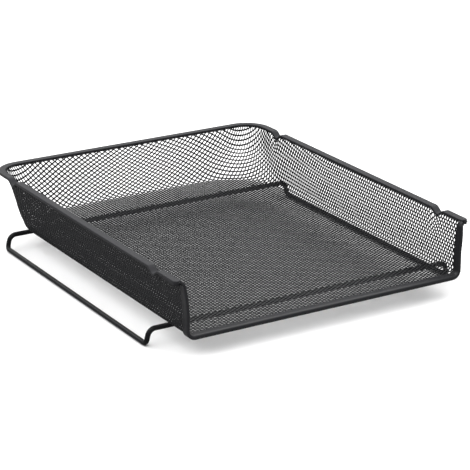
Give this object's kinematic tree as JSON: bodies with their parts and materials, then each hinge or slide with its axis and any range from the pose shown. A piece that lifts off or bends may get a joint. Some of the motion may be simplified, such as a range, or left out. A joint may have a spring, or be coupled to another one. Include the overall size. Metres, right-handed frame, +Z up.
{
  "type": "letter tray",
  "caption": "Stackable desk letter tray: open-fronted expanded-metal pan with a notched top rim, standing on a bent wire foot.",
  "frame": {"origin": "centre of the outline in plan, on the table top the foot wire rests on", "axes": "+Z up, open front towards -Y, back wall towards +Y, X = 0 is the plane of symmetry"},
  "size_m": [0.3054, 0.35, 0.0665],
  "materials": {
    "mesh_black": "satin black powder coat on expanded steel sheet",
    "rim_charcoal": "satin charcoal powder coat on folded steel strip",
    "wire_black": "satin black powder coat on round steel wire"
  },
  "bodies": {
    "root": {"mesh_pan": "mesh_black", "top_rim": "rim_charcoal", "front_binding": "rim_charcoal", "foot_wire": "wire_black"}
  },
  "joints": []
}
